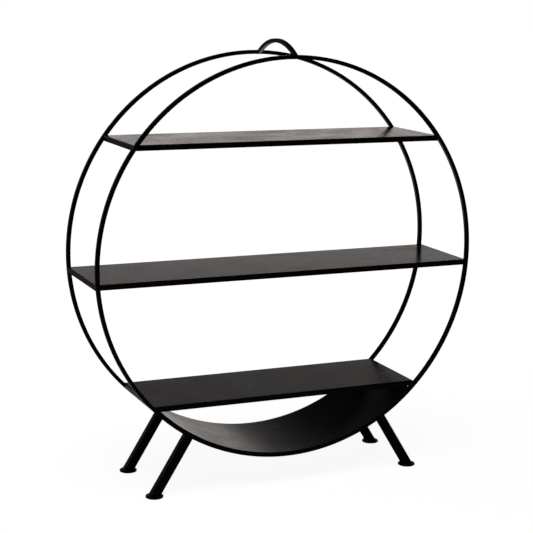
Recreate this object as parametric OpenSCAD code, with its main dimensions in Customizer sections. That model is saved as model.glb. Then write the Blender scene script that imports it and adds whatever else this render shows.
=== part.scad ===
// Round firewood rack. Two upright steel rings are joined by three folded shelves, by a curved
// log tray along the bottom and by an arched carry handle. Four splayed legs on flat feet hold
// it off the floor. X runs across the rack, -Y is its front and +Z is up. The origin is on the
// floor under the middle of the rack. Heights called levels are measured from the rings' centre.

/* [Rings] */
// Outside diameter of both rings
ring_d = 1000; // [800:10:1300]
// Depth of the rack, over the outer faces of both rings
rack_depth = 260; // [200:5:360]
// Side of the square bar in the rings and the handle
bar = 10; // [8:1:14]
// Height of the rings' lowest point above the floor
ground_gap = 72; // [60:1:140]

/* [Shelves] */
// Level of the top shelf's surface
top_level = 295; // [200:0.5:330]
// Level of the middle shelf's surface
middle_level = -29.5; // [-120:0.5:80]
// Level of the bottom shelf's surface
bottom_level = -340; // [-350:0.5:-240]
// Thickness of the shelf sheet
shelf_t = 1.5; // [1:0.25:2]
// Height of a shelf, from its surface to the lower edge of its lips
lip_h = 13.5; // [8:0.5:25]
// Outer radius of the folds in the shelf sheet
fold_r = 2.5; // [2.25:0.25:5]

/* [Log tray] */
// Thickness of the tray sheet
tray_t = 2; // [1:0.5:4]

/* [Carry handle] */
// Height of the handle's crown above the ring bar, centre to centre
handle_rise = 34; // [25:1:60]
// How far the handle's ends lie below the middle of the ring bar, centre to centre
handle_drop = 4; // [0:0.5:6]
// How far the handle stands to the right of the rack's middle
handle_shift = 8; // [-20:1:20]

/* [Legs and feet] */
// Side of a leg's square tube
leg_w = 22; // [15:1:28]
// Radius of a leg tube's long edges
leg_edge_r = 2; // [0.5:0.5:3]
// Wall of a leg tube
leg_wall = 1.5; // [1:0.25:3]
// Angle between a leg and the vertical
leg_splay = 31.6; // [20:0.2:40]
// Space between a leg tube and the plane of the ring's inner face
leg_inset = 4; // [0:0.5:20]
// Diameter of a foot
foot_d = 44; // [40:1:60]
// Thickness of the foot's base
foot_t = 4.5; // [4:0.5:8]
// Height of the foot's plug above its base
plug_h = 18; // [8:1:30]

/* [Hidden] */
$fn = 120;

// Radii of the ring bar: its centre line and its inner face
ring_r = (ring_d - bar) / 2;
ring_in_r = ring_d / 2 - bar;
// Height of the rings' centre above the floor
ring_h = ground_gap + ring_d / 2;
// Distance from the middle plane to a ring's centre line and to its inner face
ring_y = (rack_depth - bar) / 2;
face_y = rack_depth / 2 - bar;

// The tray's sheet ends level with the lower edge of the bottom shelf's lips
tray_r = ring_in_r - tray_t;
tray_half_angle = acos((lip_h - bottom_level) / tray_r);

// The handle's centre line is an arc that meets the rings' inner faces below the middle of their bar
handle_sagitta = handle_rise + handle_drop;
handle_r = (face_y * face_y + handle_sagitta * handle_sagitta) / (2 * handle_sagitta);
handle_h = ring_h + ring_r + handle_rise - handle_r;
// Half the sweep of the handle's arc, with a little more to cut its ends from
handle_half_angle = asin(face_y / handle_r) + 4;

// A leg's axis starts at the rings' centre and meets the floor at this distance from it
leg_y = face_y - leg_inset - leg_w / 2;
leg_reach = ring_h / cos(leg_splay);
// A foot is centred under the cut end of its tube
foot_x = (ring_h - foot_t) * tan(leg_splay);
// The foot's plug: its play on each side inside the tube, and the radius on the base's rim
plug_play = 0.15;
rim_r = 1.5;
plug_top = (ring_h - foot_t - plug_h) / cos(leg_splay);

steel_black = [0.09, 0.09, 0.10];
foot_black = [0.05, 0.05, 0.05];

// ---- Rings ----

// One ring of square bar, at the front (side -1) or the rear (side 1)
module ring(side) {
    color(steel_black)
        translate([0, side * ring_y, ring_h])
            rotate([90, 0, 0])
                rotate_extrude()
                    translate([ring_r, 0])
                        square(bar, center = true);
}

// ---- Shelves ----

// Cross-section of a folded shelf: flat below, rounded at the two upper corners
module fold_outline(width, height, radius) {
    translate([-width / 2, -height])
        square([width, height - radius]);
    translate([radius - width / 2, -radius])
        square([width - 2 * radius, radius]);
    for (side = [-1, 1])
        translate([side * (width / 2 - radius), -radius])
            circle(r = radius);
}

// Solid block with its top at zero and four rounded upper edges
module fold_block(length, width, height, radius) {
    intersection() {
        rotate([90, 0, 0])
            linear_extrude(width, center = true)
                fold_outline(length, height, radius);
        rotate([90, 0, 90])
            linear_extrude(length, center = true)
                fold_outline(width, height, radius);
    }
}

// A shelf's outermost corners reach the outer face of the ring bar
function shelf_length(level) = 2 * sqrt(pow(ring_d / 2, 2) - pow(max(abs(level), abs(level - lip_h)), 2));

// Folded sheet between the rings' inner faces, with a lip along all four sides
module shelf(level) {
    length = shelf_length(level);
    width = 2 * face_y;
    color(steel_black)
        translate([0, 0, ring_h + level])
            difference() {
                fold_block(length, width, lip_h, fold_r);
                translate([0, 0, -shelf_t])
                    fold_block(length - 2 * shelf_t, width - 2 * shelf_t, lip_h, fold_r - shelf_t);
            }
}

// ---- Log tray ----

// Sheet rolled to the inside of both rings, over the whole depth of the rack
module log_tray() {
    color(steel_black)
        translate([0, 0, ring_h])
            rotate([90, 0, 0])
                rotate([0, 0, 270 - tray_half_angle])
                    rotate_extrude(angle = 2 * tray_half_angle)
                        translate([tray_r, -rack_depth / 2])
                            square([tray_t, rack_depth]);
}

// ---- Carry handle ----

// Arch of square bar, cut off flush with the inner faces of the rings and with their underside
module carry_handle() {
    color(steel_black)
        intersection() {
            translate([handle_shift, 0, handle_h])
                rotate([90, 0, 90])
                    rotate([0, 0, 90 - handle_half_angle])
                        rotate_extrude(angle = 2 * handle_half_angle)
                            translate([handle_r, 0])
                                square(bar, center = true);
            translate([handle_shift - bar, -face_y, ring_h + ring_in_r])
                cube([2 * bar, 2 * face_y, ring_d]);
        }
}

// ---- Legs and feet ----

// Places its children on a leg's axis, at a distance from the rings' centre, pointing up the leg
module on_leg(x_side, y_side, distance) {
    translate([0, y_side * leg_y, ring_h])
        rotate([0, -x_side * leg_splay, 0])
            translate([0, 0, -distance])
                children();
}

// Everything above a height
module above(height) {
    translate([-ring_d, -rack_depth, height])
        cube([2 * ring_d, 2 * rack_depth, ring_d]);
}

// Square with rounded corners
module rounded_square(side, radius) {
    square([side, side - 2 * radius], center = true);
    square([side - 2 * radius, side], center = true);
    for (x = [-1, 1], y = [-1, 1])
        translate([x, y] * (side / 2 - radius))
            circle(r = radius);
}

// Square tube from the tray's underside, where it is coped to the curve, down to the foot's base
module leg(x_side, y_side) {
    color(steel_black)
        difference() {
            intersection() {
                on_leg(x_side, y_side, leg_reach + leg_w)
                    difference() {
                        linear_extrude(leg_reach + 2 * leg_w - ring_in_r)
                            rounded_square(leg_w, leg_edge_r);
                        translate([0, 0, -1])
                            linear_extrude(leg_reach + 2 * leg_w)
                                square(leg_w - 2 * leg_wall, center = true);
                    }
                above(foot_t);
            }
            translate([0, 0, ring_h])
                rotate([90, 0, 0])
                    cylinder(r = ring_in_r, h = 2 * rack_depth, center = true);
        }
}

// Outline of half the foot's base, with a rounded upper rim
module base_outline() {
    square([foot_d / 2, foot_t - rim_r]);
    square([foot_d / 2 - rim_r, foot_t]);
    translate([foot_d / 2 - rim_r, foot_t - rim_r])
        circle(r = rim_r);
}

// Flat round foot with a slanted plug that fills the end of the tube
module foot(x_side, y_side) {
    color(foot_black) {
        translate([x_side * foot_x, y_side * leg_y, 0])
            rotate_extrude()
                base_outline();
        intersection() {
            on_leg(x_side, y_side, leg_reach + leg_w)
                linear_extrude(leg_reach + leg_w - plug_top)
                    square(leg_w - 2 * (leg_wall + plug_play), center = true);
            above(foot_t / 2);
        }
    }
}

ring(-1);  // front_ring
ring(1);  // rear_ring
shelf(top_level);  // top_shelf
shelf(middle_level);  // middle_shelf
shelf(bottom_level);  // bottom_shelf
log_tray();
carry_handle();
leg(-1, -1);  // front_left_leg
leg(1, -1);  // front_right_leg
leg(-1, 1);  // rear_left_leg
leg(1, 1);  // rear_right_leg
foot(-1, -1);  // front_left_foot
foot(1, -1);  // front_right_foot
foot(-1, 1);  // rear_left_foot
foot(1, 1);  // rear_right_foot
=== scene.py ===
import math
import bmesh
import bpy
from mathutils import Matrix, Vector


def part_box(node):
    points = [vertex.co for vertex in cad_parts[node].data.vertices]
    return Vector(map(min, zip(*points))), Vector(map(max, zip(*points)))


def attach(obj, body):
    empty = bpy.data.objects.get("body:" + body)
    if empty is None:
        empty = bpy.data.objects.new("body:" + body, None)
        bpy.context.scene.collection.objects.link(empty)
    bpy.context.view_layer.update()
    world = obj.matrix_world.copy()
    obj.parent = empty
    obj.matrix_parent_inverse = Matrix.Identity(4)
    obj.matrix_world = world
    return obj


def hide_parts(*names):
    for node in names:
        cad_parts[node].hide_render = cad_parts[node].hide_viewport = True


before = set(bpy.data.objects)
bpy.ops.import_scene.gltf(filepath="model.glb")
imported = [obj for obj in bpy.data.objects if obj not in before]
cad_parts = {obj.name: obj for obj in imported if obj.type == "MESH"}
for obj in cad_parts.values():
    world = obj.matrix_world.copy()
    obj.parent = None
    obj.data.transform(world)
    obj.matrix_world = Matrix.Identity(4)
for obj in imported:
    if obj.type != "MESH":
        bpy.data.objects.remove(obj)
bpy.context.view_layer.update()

# ---- Rings ------------------------------------------------------------------------------------
# Two upright rings carry everything. Each is one length of square steel bar rolled to a circle,
# with its ends butt-welded and ground flush, and powder coated satin black like all the steel.
ring_low, ring_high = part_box("front_ring")
bar = ring_high.y - ring_low.y
ring_outer = ring_high.x
ring_line = ring_outer - bar / 2
ring_inner = ring_outer - bar
ring_height = (ring_low.z + ring_high.z) / 2
face_plane = -ring_high.y
ring_plane = face_plane + bar / 2
bar_corner = 0.0010
ring_steps = 320


def shader_group(name, inputs, outputs):
    """An empty shader node group with named sockets."""
    tree = bpy.data.node_groups.new(name, "ShaderNodeTree")
    for label, kind, value in inputs:
        made = tree.interface.new_socket(name=label, in_out="INPUT", socket_type=kind)
        made.default_value = value
    for label, kind in outputs:
        tree.interface.new_socket(name=label, in_out="OUTPUT", socket_type=kind)
    return tree, tree.nodes.new("NodeGroupInput"), tree.nodes.new("NodeGroupOutput")


def noise(tree, coordinates, scale, detail, roughness=0.5):
    """Noise over object coordinates. Scale is in features to the metre."""
    node = tree.nodes.new("ShaderNodeTexNoise")
    node.inputs["Scale"].default_value = scale
    node.inputs["Detail"].default_value = detail
    node.inputs["Roughness"].default_value = roughness
    tree.links.new(coordinates, node.inputs["Vector"])
    return node.outputs["Fac"]


def remap(tree, value, low, high, to_low, to_high):
    """A value stretched from one range to another, clamped."""
    node = tree.nodes.new("ShaderNodeMapRange")
    tree.links.new(value, node.inputs["Value"])
    for label, given in (("From Min", low), ("From Max", high), ("To Min", to_low), ("To Max", to_high)):
        if isinstance(given, (int, float)):
            node.inputs[label].default_value = given
        else:
            tree.links.new(given, node.inputs[label])
    return node.outputs["Result"]


def arithmetic(tree, operation, first, second):
    """One Math node between sockets or numbers."""
    node = tree.nodes.new("ShaderNodeMath")
    node.operation = operation
    for socket, given in zip(node.inputs, (first, second)):
        if isinstance(given, (int, float)):
            socket.default_value = given
        else:
            tree.links.new(given, socket)
    return node.outputs[0]


def mix_colour(tree, factor, first, second):
    """A blend of two colours, each a socket or a value."""
    node = tree.nodes.new("ShaderNodeMix")
    node.data_type = "RGBA"
    tree.links.new(factor, node.inputs["Factor"])
    for label, given in (("A", first), ("B", second)):
        socket = next(s for s in node.inputs if s.name == label and s.type == "RGBA")
        if isinstance(given, tuple):
            socket.default_value = given
        else:
            tree.links.new(given, socket)
    return next(s for s in node.outputs if s.type == "RGBA")


def powder_coat_group():
    """Cured powder: a fine orange-peel skin, with film thickness that wanders over a hand's width."""
    tree, given, out = shader_group(
        "Powder Coat",
        [("Deep Colour", "NodeSocketColor", (0.01, 0.01, 0.01, 1)),
         ("Thin Colour", "NodeSocketColor", (0.02, 0.02, 0.02, 1)),
         ("Smooth", "NodeSocketFloat", 0.2), ("Rough", "NodeSocketFloat", 0.3),
         ("Peel per Metre", "NodeSocketFloat", 700.0)],
        [("Colour", "NodeSocketColor"), ("Roughness", "NodeSocketFloat"),
         ("Height", "NodeSocketFloat")])
    place = tree.nodes.new("ShaderNodeTexCoord").outputs["Object"]
    film = noise(tree, place, 9.0, 3.0)
    flow = noise(tree, place, 60.0, 2.0)
    patch = arithmetic(tree, "ADD", arithmetic(tree, "MULTIPLY", film, 0.7),
                       arithmetic(tree, "MULTIPLY", flow, 0.3))
    spread = remap(tree, patch, 0.36, 0.64, 0.0, 1.0)
    peel = tree.nodes.new("ShaderNodeTexNoise")
    peel.inputs["Detail"].default_value = 2.0
    tree.links.new(place, peel.inputs["Vector"])
    tree.links.new(given.outputs["Peel per Metre"], peel.inputs["Scale"])
    speck = noise(tree, place, 2600.0, 1.0)
    height = arithmetic(tree, "ADD", peel.outputs["Fac"], arithmetic(tree, "MULTIPLY", speck, 0.25))
    tree.links.new(mix_colour(tree, spread, given.outputs["Deep Colour"], given.outputs["Thin Colour"]),
                   out.inputs["Colour"])
    tree.links.new(remap(tree, spread, 0.0, 1.0, given.outputs["Smooth"], given.outputs["Rough"]),
                   out.inputs["Roughness"])
    tree.links.new(height, out.inputs["Height"])
    return tree


def dust_group():
    """A trace of ash and bark dust that settles on faces that look up."""
    tree, given, out = shader_group(
        "Settled Dust",
        [("Colour", "NodeSocketColor", (0.01, 0.01, 0.01, 1)), ("Roughness", "NodeSocketFloat", 0.25),
         ("Amount", "NodeSocketFloat", 0.05)],
        [("Colour", "NodeSocketColor"), ("Roughness", "NodeSocketFloat")])
    place = tree.nodes.new("ShaderNodeTexCoord").outputs["Object"]
    split = tree.nodes.new("ShaderNodeSeparateXYZ")
    tree.links.new(tree.nodes.new("ShaderNodeNewGeometry").outputs["Normal"], split.inputs["Vector"])
    upward = remap(tree, split.outputs["Z"], 0.55, 0.95, 0.0, 1.0)
    drift = remap(tree, noise(tree, place, 14.0, 4.0, 0.6), 0.42, 0.7, 0.15, 1.0)
    fine = remap(tree, noise(tree, place, 900.0, 2.0), 0.45, 0.6, 0.5, 1.0)
    cover = arithmetic(tree, "MULTIPLY", arithmetic(tree, "MULTIPLY", upward, drift),
                       arithmetic(tree, "MULTIPLY", fine, given.outputs["Amount"]))
    dust_colour = (0.22, 0.20, 0.18, 1)
    tree.links.new(mix_colour(tree, cover, given.outputs["Colour"], dust_colour), out.inputs["Colour"])
    duller = arithmetic(tree, "MULTIPLY", cover, 0.8)
    tree.links.new(arithmetic(tree, "ADD", given.outputs["Roughness"], duller), out.inputs["Roughness"])
    return tree


powder_coat = powder_coat_group()
settled_dust = dust_group()


def coated_steel(name, deep, thin, smooth, rough, peel_per_metre, peel_height, dust):
    """Satin black powder coat over steel, with its own film, skin and dust."""
    material = bpy.data.materials.new(name)
    material.use_nodes = True
    tree = material.node_tree
    shader = tree.nodes["Principled BSDF"]
    coat = tree.nodes.new("ShaderNodeGroup")
    coat.node_tree = powder_coat
    coat.inputs["Deep Colour"].default_value = (*deep, 1)
    coat.inputs["Thin Colour"].default_value = (*thin, 1)
    coat.inputs["Smooth"].default_value = smooth
    coat.inputs["Rough"].default_value = rough
    coat.inputs["Peel per Metre"].default_value = peel_per_metre
    settled = tree.nodes.new("ShaderNodeGroup")
    settled.node_tree = settled_dust
    settled.inputs["Amount"].default_value = dust
    skin = tree.nodes.new("ShaderNodeBump")
    skin.inputs["Strength"].default_value = 1.0
    skin.inputs["Distance"].default_value = peel_height
    tree.links.new(coat.outputs["Colour"], settled.inputs["Colour"])
    tree.links.new(coat.outputs["Roughness"], settled.inputs["Roughness"])
    tree.links.new(settled.outputs["Colour"], shader.inputs["Base Color"])
    tree.links.new(settled.outputs["Roughness"], shader.inputs["Roughness"])
    tree.links.new(coat.outputs["Height"], skin.inputs["Height"])
    tree.links.new(skin.outputs["Normal"], shader.inputs["Normal"])
    shader.inputs["IOR"].default_value = 1.5
    material.diffuse_color = (*thin, 1)
    return material


bar_coat = coated_steel("coated_bar", (0.0045, 0.0045, 0.005), (0.008, 0.008, 0.0085),
                        0.24, 0.34, 620.0, 0.00003, 0.02)


def rolled_section_tree():
    """Geometry nodes that sweep a rounded section along an arc in the XZ plane."""
    tree = bpy.data.node_groups.new("Rolled Section", "GeometryNodeTree")
    tree.interface.new_socket(name="Geometry", in_out="OUTPUT", socket_type="NodeSocketGeometry")
    sockets = {}
    for label, kind in (("Radius", "NodeSocketFloat"), ("Start", "NodeSocketFloat"),
                        ("Sweep", "NodeSocketFloat"), ("Steps", "NodeSocketInt"),
                        ("Closed", "NodeSocketBool"), ("Section Radial", "NodeSocketFloat"),
                        ("Section Across", "NodeSocketFloat"), ("Corner", "NodeSocketFloat"),
                        ("Centre", "NodeSocketVector"), ("Turn", "NodeSocketVector"),
                        ("Finish", "NodeSocketMaterial")):
        made = tree.interface.new_socket(name=label, in_out="INPUT", socket_type=kind)
        sockets[label] = made.identifier
    given = tree.nodes.new("NodeGroupInput")
    out = tree.nodes.new("NodeGroupOutput")
    path = tree.nodes.new("GeometryNodeCurveArc")
    path.mode = "RADIUS"
    for label, source in (("Resolution", "Steps"), ("Radius", "Radius"), ("Start Angle", "Start"),
                          ("Sweep Angle", "Sweep")):
        tree.links.new(given.outputs[source], path.inputs[label])
    upright = tree.nodes.new("GeometryNodeSetCurveNormal")
    upright.mode = "Z_UP"
    tree.links.new(path.outputs["Curve"], upright.inputs["Curve"])
    joined = tree.nodes.new("GeometryNodeSetSplineCyclic")
    tree.links.new(upright.outputs["Curve"], joined.inputs["Geometry"])
    tree.links.new(given.outputs["Closed"], joined.inputs["Cyclic"])
    section = tree.nodes.new("GeometryNodeCurvePrimitiveQuadrilateral")
    section.mode = "RECTANGLE"
    tree.links.new(given.outputs["Section Radial"], section.inputs["Width"])
    tree.links.new(given.outputs["Section Across"], section.inputs["Height"])
    rounded = tree.nodes.new("GeometryNodeFilletCurve")
    rounded.mode = "POLY"
    rounded.inputs["Count"].default_value = 4
    tree.links.new(section.outputs["Curve"], rounded.inputs["Curve"])
    tree.links.new(given.outputs["Corner"], rounded.inputs["Radius"])
    sweep = tree.nodes.new("GeometryNodeCurveToMesh")
    sweep.inputs["Fill Caps"].default_value = True
    tree.links.new(joined.outputs["Geometry"], sweep.inputs["Curve"])
    tree.links.new(rounded.outputs["Curve"], sweep.inputs["Profile Curve"])
    place = tree.nodes.new("GeometryNodeTransform")
    tree.links.new(sweep.outputs["Mesh"], place.inputs["Geometry"])
    tree.links.new(given.outputs["Centre"], place.inputs["Translation"])
    tree.links.new(given.outputs["Turn"], place.inputs["Rotation"])
    real = tree.nodes.new("GeometryNodeRealizeInstances")
    tree.links.new(place.outputs["Geometry"], real.inputs["Geometry"])
    finish = tree.nodes.new("GeometryNodeSetMaterial")
    tree.links.new(real.outputs["Geometry"], finish.inputs["Geometry"])
    tree.links.new(given.outputs["Finish"], finish.inputs["Material"])
    tree.links.new(finish.outputs["Geometry"], out.inputs["Geometry"])
    return tree, sockets


def shade(mesh, crease):
    """Smooth faces that break only at edges sharper than crease, in degrees."""
    mesh.shade_smooth()
    mesh.set_sharp_from_angle(angle=math.radians(crease))


def grown(name, tree, sockets, values, start_mesh=None):
    """What a node tree makes from these values, as a plain mesh object with even shading."""
    seed = bpy.data.objects.new(name + "_seed", start_mesh or bpy.data.meshes.new(name + "_seed"))
    bpy.context.scene.collection.objects.link(seed)
    nodes = seed.modifiers.new("grow", "NODES")
    nodes.node_group = tree
    for label, value in values.items():
        nodes[sockets[label]] = value
    even = seed.modifiers.new("even_shading", "WEIGHTED_NORMAL")
    even.keep_sharp = True
    graph = bpy.context.evaluated_depsgraph_get()
    mesh = bpy.data.meshes.new_from_object(seed.evaluated_get(graph), depsgraph=graph)
    bpy.data.objects.remove(seed)
    made = bpy.data.objects.new(name, mesh)
    bpy.context.scene.collection.objects.link(made)
    return made


def finished(piece, slot, *nodes):
    """The piece rides on the welded frame and stands for its CAD solids."""
    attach(piece, "root")
    if nodes:
        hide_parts(*nodes)
    return piece


rolled_section, rolled_sockets = rolled_section_tree()
upright_turn = (math.radians(90), 0.0, 0.0)
for side, node in ((-1, "front_ring"), (1, "rear_ring")):
    ring = grown(node + "_bar", rolled_section, rolled_sockets, {
        "Radius": ring_line, "Start": math.radians(270), "Steps": ring_steps,
        "Sweep": math.tau * (ring_steps - 1) / ring_steps, "Closed": True,
        "Section Radial": bar, "Section Across": bar, "Corner": bar_corner,
        "Centre": (0.0, side * ring_plane, ring_height), "Turn": upright_turn, "Finish": bar_coat})
    shade(ring.data, 50)
    finished(ring, "frame", node)

# ---- Shelves ----------------------------------------------------------------------------------
# Three shelves of 1.5 mm steel sheet. All four sides are folded down to a lip, the lips' corners
# are welded and ground round, and each shelf is welded by its corners between the two rings.
sheet = 0.0015
fold = 0.0025
corner_round = 0.0014
fold_steps = 8
corner_steps = 5
sheet_coat = coated_steel("coated_sheet", (0.006, 0.006, 0.0065), (0.011, 0.011, 0.0115),
                          0.17, 0.25, 520.0, 0.00003, 0.05)


def rounded_loop(half_x, half_y, radius, height, side_steps=1):
    """Points of a level rectangle with rounded corners, anticlockwise from the right-hand side."""
    points = []
    for quarter, (sx, sy) in enumerate(((1, 1), (-1, 1), (-1, -1), (1, -1))):
        centre = Vector((sx * (half_x - radius), sy * (half_y - radius), height))
        for step in range(corner_steps + 1):
            angle = math.radians(90) * (quarter + step / corner_steps)
            points.append(centre + radius * Vector((math.cos(angle), math.sin(angle), 0)))
        level_run, deep_run = Vector((-sx * (half_x - radius), 0, 0)), Vector((0, -sy * (half_y - radius), 0))
        run = level_run if sx == sy else deep_run
        points += [points[-1] + run * 2 * step / side_steps for step in range(1, side_steps)]
    return points


def skinned(name, loops, material, ring_shut=False):
    """A closed mesh through equal loops of points, capped or joined into a ring."""
    mesh = bpy.data.meshes.new(name)
    work = bmesh.new()
    rows = [[work.verts.new(point) for point in loop] for loop in loops]
    pairs = list(zip(rows, rows[1:])) + ([(rows[-1], rows[0])] if ring_shut else [])
    for lower, upper in pairs:
        count = len(lower)
        for i in range(count):
            j = (i + 1) % count
            work.faces.new((lower[i], lower[j], upper[j], upper[i]))
    if not ring_shut:
        work.faces.new(list(reversed(rows[0])))
        work.faces.new(rows[-1])
    bmesh.ops.recalc_face_normals(work, faces=work.faces)
    work.to_mesh(mesh)
    work.free()
    mesh.materials.append(material)
    made = bpy.data.objects.new(name, mesh)
    bpy.context.scene.collection.objects.link(made)
    return made


def folded_skin(half_x, half_y, top, lip, radius, corner):
    """Loops of one side of the folded sheet, from the lip's lower edge over the fold to the plate."""
    loops = [rounded_loop(half_x, half_y, corner, top - lip),
             rounded_loop(half_x, half_y, corner, top - (lip + radius) / 2)]
    for step in range(fold_steps + 1):
        angle = math.radians(90) * step / fold_steps
        inset = radius * (1 - math.cos(angle))
        loops.append(rounded_loop(half_x - inset, half_y - inset, max(corner - inset * 0.6, corner * 0.3),
                                  top - radius + radius * math.sin(angle)))
    return loops


def folded_shelf(node):
    """One shelf the size of its CAD node: an outer skin, and an inner one a sheet's thickness inside."""
    low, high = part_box(node)
    half_x, half_y = (high.x - low.x) / 2, (high.y - low.y) / 2
    lip = high.z - low.z
    outer = folded_skin(half_x, half_y, high.z, lip, fold, corner_round)
    inner = folded_skin(half_x - sheet, half_y - sheet, high.z - sheet, lip - sheet,
                        fold - sheet, corner_round * 0.6)
    piece = skinned(node + "_sheet", list(reversed(outer)) + inner, sheet_coat)
    even = piece.modifiers.new("even_shading", "WEIGHTED_NORMAL")
    even.keep_sharp = True
    shade(piece.data, 50)
    return finished(piece, "sheet", node)


for node in ("top_shelf", "middle_shelf", "bottom_shelf"):
    folded_shelf(node)

# ---- Log tray ---------------------------------------------------------------------------------
# The curved tray is a 2 mm steel sheet rolled to the inside of the rings. It lies on both of them
# and runs up on either side to the lips of the bottom shelf.
tray_low, tray_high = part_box("log_tray")
tray_sheet = 0.0020
tray_half_sweep = math.acos((ring_height - tray_high.z) / (ring_inner - tray_sheet))
tray_coat = coated_steel("coated_tray", (0.006, 0.006, 0.0065), (0.011, 0.011, 0.0115),
                         0.20, 0.28, 520.0, 0.00003, 0.05)
tray = grown("log_tray_sheet", rolled_section, rolled_sockets, {
    "Radius": ring_inner - tray_sheet / 2, "Start": math.radians(270) - tray_half_sweep,
    "Sweep": 2 * tray_half_sweep, "Steps": 160, "Closed": False,
    "Section Radial": tray_sheet, "Section Across": tray_high.y - tray_low.y, "Corner": 0.0004,
    "Centre": (0.0, 0.0, ring_height), "Turn": upright_turn, "Finish": tray_coat})
shade(tray.data, 50)
finished(tray, "sheet", "log_tray")

# ---- Carry handle -----------------------------------------------------------------------------
# An arch of the rings' own square bar over the top of the rack, from front to back and a little
# right of the middle. Its ends are cut upright, welded to the inner faces of the rings and trimmed
# flush with the rings' underside.
handle_low, handle_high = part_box("carry_handle")
handle_side = (handle_low.x + handle_high.x) / 2
handle_drop = 0.0040
handle_crown = handle_high.z - bar / 2
handle_sagitta = handle_crown - ring_height - ring_line + handle_drop
handle_radius = (face_plane ** 2 + handle_sagitta ** 2) / (2 * handle_sagitta)
handle_spare = math.radians(4)
handle_half_sweep = math.asin(face_plane / handle_radius) + handle_spare
handle = grown("carry_handle_bar", rolled_section, rolled_sockets, {
    "Radius": handle_radius, "Start": math.radians(90) - handle_half_sweep,
    "Sweep": 2 * handle_half_sweep, "Steps": 96, "Closed": False,
    "Section Radial": bar, "Section Across": bar, "Corner": bar_corner,
    "Centre": (handle_side, 0.0, handle_crown - handle_radius),
    "Turn": (math.radians(90), 0.0, math.radians(90)), "Finish": bar_coat})


def cut_flat(piece, point, normal):
    """Cuts a piece with a plane, drops what lies beyond it and closes the cut."""
    work = bmesh.new()
    work.from_mesh(piece.data)
    bmesh.ops.remove_doubles(work, verts=work.verts, dist=1e-6)
    made = bmesh.ops.bisect_plane(work, geom=work.verts[:] + work.edges[:] + work.faces[:],
                                  plane_co=point, plane_no=normal, clear_outer=True)
    edges = [e for e in made["geom_cut"] if isinstance(e, bmesh.types.BMEdge)]
    bmesh.ops.holes_fill(work, edges=edges)
    bmesh.ops.recalc_face_normals(work, faces=work.faces)
    work.to_mesh(piece.data)
    work.free()


for side in (-1, 1):
    cut_flat(handle, (0, side * face_plane, 0), (0, side, 0))
cut_flat(handle, (0, 0, handle_low.z), (0, 0, -1))
shade(handle.data, 50)
finished(handle, "frame", "carry_handle")

# ---- Legs -------------------------------------------------------------------------------------
# Four splayed legs of 22 mm square steel tube with a 1.5 mm wall. Each points at the middle of the
# rings, is coped to the tray's underside and welded there, and its lower end is cut level.
leg_low, leg_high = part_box("front_right_leg")
foot_low, foot_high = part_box("front_right_foot")
tube_side = leg_high.y - leg_low.y
tube_wall = 0.0015
tube_edge = 0.0020
bore_edge = 0.0005
tube_bevel = 0.0003
tube_side_steps = 14
leg_line = -(leg_low.y + leg_high.y) / 2
leg_end = leg_low.z
foot_spread = (foot_low.x + foot_high.x) / 2
leg_splay = math.atan2(foot_spread, ring_height - leg_end)


def leg_axis(x_side, y_side):
    """A leg's start at the rings' centre, its direction down, and two directions across it."""
    start = Vector((0, y_side * leg_line, ring_height))
    down = Vector((x_side * math.sin(leg_splay), 0, -math.cos(leg_splay)))
    across = Vector((x_side * math.cos(leg_splay), 0, math.sin(leg_splay)))
    return start, down, across, Vector((0, 1, 0))


def tube_loop(axis, side, edge, distance_at):
    """A loop round a square tube, with its distance along the axis given for each point."""
    start, down, across, along = axis
    points = []
    for flat in rounded_loop(side / 2, side / 2, edge, 0, tube_side_steps):
        off = flat.x * across + flat.y * along
        points.append(start + off + distance_at(off) * down)
    return points


def at_height(axis, height):
    """Distance along the axis at which a point beside it reaches a height."""
    start, down, _, _ = axis
    return lambda off: (height - start.z - off.z) / down.z


def at_curve(axis, radius):
    """Distance along the axis at which a point beside it reaches the tray's round underside."""
    return lambda off: math.sqrt(radius ** 2 - off.dot(axis[2]) ** 2)


for y_side, y_name in ((-1, "front"), (1, "rear")):
    for x_side, x_name in ((-1, "left"), (1, "right")):
        axis = leg_axis(x_side, y_side)
        bore = tube_side - 2 * tube_wall
        top, end = at_curve(axis, ring_inner), at_height(axis, leg_end)
        loops = [tube_loop(axis, bore, bore_edge, lambda off: top(off) + tube_bevel),
                 tube_loop(axis, bore + 2 * tube_bevel, bore_edge, top),
                 tube_loop(axis, tube_side - 2 * tube_bevel, tube_edge, top),
                 tube_loop(axis, tube_side, tube_edge, lambda off: top(off) + tube_bevel),
                 tube_loop(axis, tube_side, tube_edge, lambda off: end(off) - tube_bevel),
                 tube_loop(axis, tube_side - 2 * tube_bevel, tube_edge, end),
                 tube_loop(axis, bore + 2 * tube_bevel, bore_edge, end),
                 tube_loop(axis, bore, bore_edge, lambda off: end(off) - tube_bevel)]
        leg = skinned(f"{y_name}_{x_name}_leg_tube", loops, bar_coat, ring_shut=True)
        shade(leg.data, 40)
        finished(leg, "frame", f"{y_name}_{x_name}_leg")

# ---- Weld beads -------------------------------------------------------------------------------
# Fillet welds laid by hand and left under the powder coat: a stack of fine ripples along each seam.
# They close the legs' tops and the handle's and shelves' corners, and stitch the tray to the rings.
bead = 0.0014
bead_ripple = 0.0022
bead_seed = 7.0
stitch = 0.025
stitch_pitch = 0.115


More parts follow.
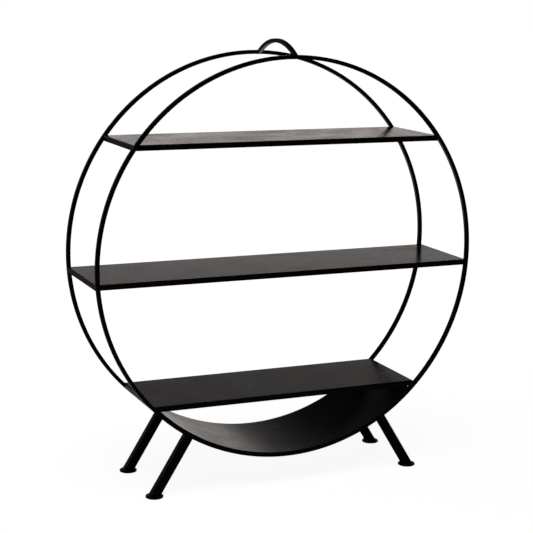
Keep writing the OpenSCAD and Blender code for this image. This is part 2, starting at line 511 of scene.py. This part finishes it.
def weld_bead_tree():
    """Geometry nodes that lay a rippled bead along every edge path of a mesh."""
    tree = bpy.data.node_groups.new("Weld Bead", "GeometryNodeTree")
    tree.interface.new_socket(name="Geometry", in_out="INPUT", socket_type="NodeSocketGeometry")
    tree.interface.new_socket(name="Geometry", in_out="OUTPUT", socket_type="NodeSocketGeometry")
    sockets = {}
    for label, kind in (("Radius", "NodeSocketFloat"), ("Ripple", "NodeSocketFloat"),
                        ("Seed", "NodeSocketFloat"), ("Finish", "NodeSocketMaterial")):
        sockets[label] = tree.interface.new_socket(name=label, in_out="INPUT", socket_type=kind).identifier
    given = tree.nodes.new("NodeGroupInput")
    out = tree.nodes.new("NodeGroupOutput")
    seam = tree.nodes.new("GeometryNodeMeshToCurve")
    tree.links.new(given.outputs["Geometry"], seam.inputs["Mesh"])
    steps = tree.nodes.new("GeometryNodeResampleCurve")
    steps.mode = "LENGTH"
    tree.links.new(seam.outputs["Curve"], steps.inputs["Curve"])
    tree.links.new(arithmetic(tree, "DIVIDE", given.outputs["Ripple"], 4.0), steps.inputs["Length"])
    along = tree.nodes.new("GeometryNodeSplineParameter").outputs["Length"]
    turns = arithmetic(tree, "DIVIDE", along, given.outputs["Ripple"])
    phase = arithmetic(tree, "MULTIPLY", turns, math.tau)
    wave = arithmetic(tree, "MULTIPLY", arithmetic(tree, "SINE", phase, 0.0), 0.09)
    hand = tree.nodes.new("ShaderNodeTexNoise")
    hand.noise_dimensions = "4D"
    hand.inputs["Scale"].default_value = 160.0
    tree.links.new(given.outputs["Seed"], hand.inputs["W"])
    drift = remap(tree, hand.outputs["Fac"], 0.3, 0.7, 0.8, 1.1)
    swell = arithmetic(tree, "MULTIPLY", arithmetic(tree, "ADD", drift, wave), given.outputs["Radius"])
    section = tree.nodes.new("GeometryNodeCurvePrimitiveCircle")
    section.inputs["Resolution"].default_value = 10
    section.inputs["Radius"].default_value = 1.0
    sweep = tree.nodes.new("GeometryNodeCurveToMesh")
    sweep.inputs["Fill Caps"].default_value = True
    tree.links.new(steps.outputs["Curve"], sweep.inputs["Curve"])
    tree.links.new(section.outputs["Curve"], sweep.inputs["Profile Curve"])
    tree.links.new(swell, sweep.inputs["Scale"])
    real = tree.nodes.new("GeometryNodeRealizeInstances")
    tree.links.new(sweep.outputs["Mesh"], real.inputs["Geometry"])
    finish = tree.nodes.new("GeometryNodeSetMaterial")
    tree.links.new(real.outputs["Geometry"], finish.inputs["Geometry"])
    tree.links.new(given.outputs["Finish"], finish.inputs["Material"])
    tree.links.new(finish.outputs["Geometry"], out.inputs["Geometry"])
    return tree, sockets


def ring_arc(side, start, end):
    """Points along the corner between a ring's inner edge and what lies against it."""
    count = max(2, math.ceil(abs(end - start) * ring_inner / 0.004))
    angles = [start + (end - start) * i / count for i in range(count + 1)]
    return [Vector((ring_inner * math.cos(a), side * face_plane, ring_height + ring_inner * math.sin(a)))
            for a in angles]


def seams():
    """Every welded seam, as its points and whether it closes on itself."""
    for side in (-1, 1):
        top = handle_low.z + bar * 0.65
        near, far = handle_side - bar / 2, handle_side + bar / 2
        yield [Vector((x, side * face_plane, z)) for x, z in
               ((near, handle_low.z + bead), (near, top), (far, top), (far, handle_low.z + bead))], False
        for node in ("top_shelf", "middle_shelf", "bottom_shelf"):
            low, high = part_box(node)
            rise = [math.asin((z - ring_height) / ring_inner) for z in (low.z, high.z - fold)]
            yield ring_arc(side, *rise), False
            yield ring_arc(side, math.pi - rise[1], math.pi - rise[0]), False
        count = math.floor(2 * tray_half_sweep * ring_inner / stitch_pitch)
        for i in range(count):
            middle = math.radians(270) + (i - (count - 1) / 2) * stitch_pitch / ring_inner
            half = stitch / 2 / ring_inner
            yield ring_arc(side, middle - half, middle + half), False
        for x_side in (-1, 1):
            axis = leg_axis(x_side, side)
            yield tube_loop(axis, tube_side, tube_edge, at_curve(axis, ring_inner)), True


def seam_paths():
    """One mesh of bare edges along all the seams."""
    points, edges = [], []
    for path, closed in seams():
        first = len(points)
        points += path
        edges += [(i, i + 1) for i in range(first, len(points) - 1)]
        if closed:
            edges.append((len(points) - 1, first))
    mesh = bpy.data.meshes.new("seam_paths")
    mesh.from_pydata(points, edges, [])
    return mesh


weld_bead, weld_sockets = weld_bead_tree()
beads = grown("weld_beads", weld_bead, weld_sockets,
              {"Radius": bead, "Ripple": bead_ripple, "Seed": bead_seed, "Finish": bar_coat}, seam_paths())
shade(beads.data, 60)
finished(beads, "frame")

# ---- Feet -------------------------------------------------------------------------------------
# Flat round feet moulded in black plastic. A square plug holds each one in the end of its tube, and
# the underside is dished so that the foot stands on its rim.
foot_radius = (foot_high.x - foot_low.x) / 2
rim = 0.0015
plug_play = 0.00015
plug_side = tube_side - 2 * (tube_wall + plug_play)
plug_lead = 0.0010
dish_radius = foot_radius - 0.006
dish_depth = 0.0008
dish_flank = 0.0006
lower_edge = 0.0005
rim_steps = 6


def moulded_plastic():
    """Black moulded plastic with a fine spark-eroded grain."""
    material = bpy.data.materials.new("moulded_black")
    material.use_nodes = True
    tree = material.node_tree
    shader = tree.nodes["Principled BSDF"]
    place = tree.nodes.new("ShaderNodeTexCoord").outputs["Object"]
    grain = noise(tree, place, 1500.0, 3.0, 0.6)
    wipe = noise(tree, place, 40.0, 3.0)
    tree.links.new(mix_colour(tree, wipe, (0.006, 0.006, 0.006, 1), (0.013, 0.013, 0.013, 1)),
                   shader.inputs["Base Color"])
    tree.links.new(remap(tree, wipe, 0.35, 0.65, 0.36, 0.5), shader.inputs["Roughness"])
    skin = tree.nodes.new("ShaderNodeBump")
    skin.inputs["Distance"].default_value = 0.00004
    tree.links.new(grain, skin.inputs["Height"])
    tree.links.new(skin.outputs["Normal"], shader.inputs["Normal"])
    shader.inputs["IOR"].default_value = 1.47
    return material


foot_plastic = moulded_plastic()


def foot_loops(x_side, y_side):
    """Loops of a foot, from its dished underside round the rim to the plug and up to its end."""
    axis = leg_axis(x_side, y_side)
    root = tube_loop(axis, plug_side, bore_edge, at_height(axis, leg_end))
    centre = Vector((x_side * foot_spread, y_side * leg_line, leg_end))
    spokes = [(point - centre).normalized() for point in root]

    def disc(radius, height):
        return [Vector((centre.x, centre.y, height)) + radius * spoke for spoke in spokes]

    loops = [disc(0.004, dish_depth), disc(dish_radius, dish_depth), disc(dish_radius + dish_flank, 0),
             disc(foot_radius - lower_edge, 0), disc(foot_radius, lower_edge),
             disc(foot_radius, leg_end - rim)]
    for step in range(1, rim_steps + 1):
        angle = math.radians(90) * step / rim_steps
        loops.append(disc(foot_radius - rim * (1 - math.cos(angle)), leg_end - rim * (1 - math.sin(angle))))
    rise = ring_height - foot_high.z + plug_side / 2 * math.sin(leg_splay)
    reach = rise / math.cos(leg_splay)
    return loops + [root, tube_loop(axis, plug_side, bore_edge, lambda off: reach + plug_lead),
                    tube_loop(axis, plug_side - 2 * plug_lead, bore_edge, lambda off: reach)]


for y_side, y_name in ((-1, "front"), (1, "rear")):
    for x_side, x_name in ((-1, "left"), (1, "right")):
        foot = skinned(f"{y_name}_{x_name}_foot_moulding", foot_loops(x_side, y_side), foot_plastic)
        shade(foot.data, 40)
        finished(foot, "foot", f"{y_name}_{x_name}_foot")

# ---- Floor, light and camera ------------------------------------------------------------------
# A plain pale floor with no edge in sight, with painted light glowing in it behind the rack, a bright low
# backdrop behind the rack, a large soft light overhead, a weak one on the left, and the camera to the front
# left, higher than the rack.
floor_mesh = bpy.data.meshes.new("floor")
floor_reach = 60.0
floor_corners = [(x * floor_reach, y * floor_reach, 0) for x, y in ((-1, -1), (1, -1), (1, 1), (-1, 1))]
floor_mesh.from_pydata(floor_corners, [], [(0, 1, 2, 3)])
floor = bpy.data.objects.new("floor", floor_mesh)
bpy.context.scene.collection.objects.link(floor)


warm_white = (1.0, 0.93, 0.90, 1)


def spread_over(tree, coordinate, *ranges):
    """Product of remapped coordinates, as a soft pool of light."""
    split = tree.nodes.new("ShaderNodeSeparateXYZ")
    tree.links.new(tree.nodes.new("ShaderNodeTexCoord").outputs[coordinate], split.inputs["Vector"])
    level = 1.0
    for label, low, high, to_low, to_high in ranges:
        share = remap(tree, split.outputs[label], low, high, to_low, to_high)
        level = arithmetic(tree, "MULTIPLY", share, level)
    return level


def pale_floor():
    """Matt pale floor, white where it is looked at directly. To everything else it is a darker grey,
    washed with painted light behind the rack: a warm glow in its own emission, not a lamp's light.
    """
    material = bpy.data.materials.new("pale_floor")
    material.use_nodes = True
    tree = material.node_tree
    shader = tree.nodes["Principled BSDF"]
    shader.inputs["Roughness"].default_value = 0.9
    shader.inputs["Specular IOR Level"].default_value = 0.1
    # Painted light: a warm glow in the floor's emission behind the rack, seen only in reflections.
    painted_glow = arithmetic(tree, "MULTIPLY", 0.9, spread_over(
        tree, "Object", ("Y", 0.2, 0.6, 0.0, 1.0), ("Y", 0.7, 1.2, 1.0, 0.5), ("X", -0.7, 0.0, 0.1, 1.0)))
    seen = tree.nodes.new("ShaderNodeLightPath").outputs["Is Camera Ray"]
    white = arithmetic(tree, "MULTIPLY", seen, spread_over(tree, "Object", ("Y", -0.2, 1.4, 0.915, 1.0)))
    unseen = arithmetic(tree, "MULTIPLY", painted_glow, arithmetic(tree, "SUBTRACT", 1.0, seen))
    tree.links.new(arithmetic(tree, "ADD", unseen, white), shader.inputs["Emission Strength"])
    tree.links.new(mix_colour(tree, seen, warm_white, (1, 1, 1, 1)), shader.inputs["Emission Color"])
    # Painted shade in reflections: the floor is pale to the camera but a darker grey to everything else.
    tree.links.new(mix_colour(tree, seen, (0.35, 0.35, 0.35, 1), (0.95, 0.95, 0.95, 1)),
                   shader.inputs["Base Color"])
    return material


floor_mesh.materials.append(pale_floor())


def studio_world():
    """White backdrop. What the steel mirrors is a low band of light behind the rack, to the right."""
    world = bpy.data.worlds.new("studio")
    bpy.context.scene.world = world
    world.use_nodes = True
    tree = world.node_tree
    glow = tree.nodes["Background"]
    band = spread_over(tree, "Generated", ("Y", 0.0, 0.7, 0.0, 1.0), ("X", -0.4, 0.2, 0.05, 1.0))
    split = tree.nodes.new("ShaderNodeSeparateXYZ")
    tree.links.new(tree.nodes.new("ShaderNodeTexCoord").outputs["Generated"], split.inputs["Vector"])
    climb = tree.nodes.new("ShaderNodeValToRGB")
    climb.color_ramp.interpolation = "EASE"
    steps = ((0.0, 0.55), (0.07, 0.58), (0.095, 1.0), (0.14, 1.0), (0.175, 0.10), (0.28, 0.10), (0.45, 0.012),
             (1.0, 0.004))
    ramp = climb.color_ramp.elements
    for i, (at, level) in enumerate(steps):
        stop = ramp[i] if i < len(ramp) else ramp.new(at)
        stop.position = at
        stop.color = (level, level, level, 1)
    tree.links.new(split.outputs["Z"], climb.inputs["Fac"])
    seen = tree.nodes.new("ShaderNodeLightPath").outputs["Is Camera Ray"]
    level = arithmetic(tree, "MAXIMUM", arithmetic(tree, "MULTIPLY", climb.outputs["Color"], band), seen)
    tree.links.new(level, glow.inputs["Strength"])
    tree.links.new(mix_colour(tree, seen, warm_white, (1, 1, 1, 1)), glow.inputs["Color"])
    return world


studio_world()
bpy.context.scene.view_settings.view_transform = "Standard"
rack_middle = Vector((0, 0, ring_height))


def soft_light(name, place, size, power, aim):
    """A square soft light that faces a point."""
    data = bpy.data.lights.new(name, "AREA")
    data.shape = "SQUARE"
    data.size = size
    data.energy = power
    light = bpy.data.objects.new(name, data)
    light.location = place
    light.rotation_euler = (Vector(place) - Vector(aim)).to_track_quat("Z", "Y").to_euler()
    bpy.context.scene.collection.objects.link(light)
    return light


soft_light("overhead", (-0.6, -1.2, 3.4), 2.4, 12, rack_middle)
soft_light("left_fill", (-3.2, -1.0, 1.6), 1.6, 1, rack_middle)

azimuth = math.radians(23.15)
elevation = math.radians(11.02)
roll = math.radians(0.72)
distance = 7.54 * ring_line
framing = Vector((0.0255, -0.0765)) * ring_line
sensor_width = 36.0
focal_ratio = 2.76473
camera_data = bpy.data.cameras.new("camera")
camera_data.sensor_width = sensor_width
camera_data.lens = sensor_width * focal_ratio
camera_data.clip_end = 200
camera = bpy.data.objects.new("camera", camera_data)
bpy.context.scene.collection.objects.link(camera)
bpy.context.scene.camera = camera
turn = (Matrix.Rotation(-azimuth, 4, "Z") @ Matrix.Rotation(math.radians(90) - elevation, 4, "X")
        @ Matrix.Rotation(roll, 4, "Z"))
place = rack_middle + turn.to_3x3() @ Vector((-framing.x, framing.y, distance))
camera.matrix_world = Matrix.Translation(place) @ turn
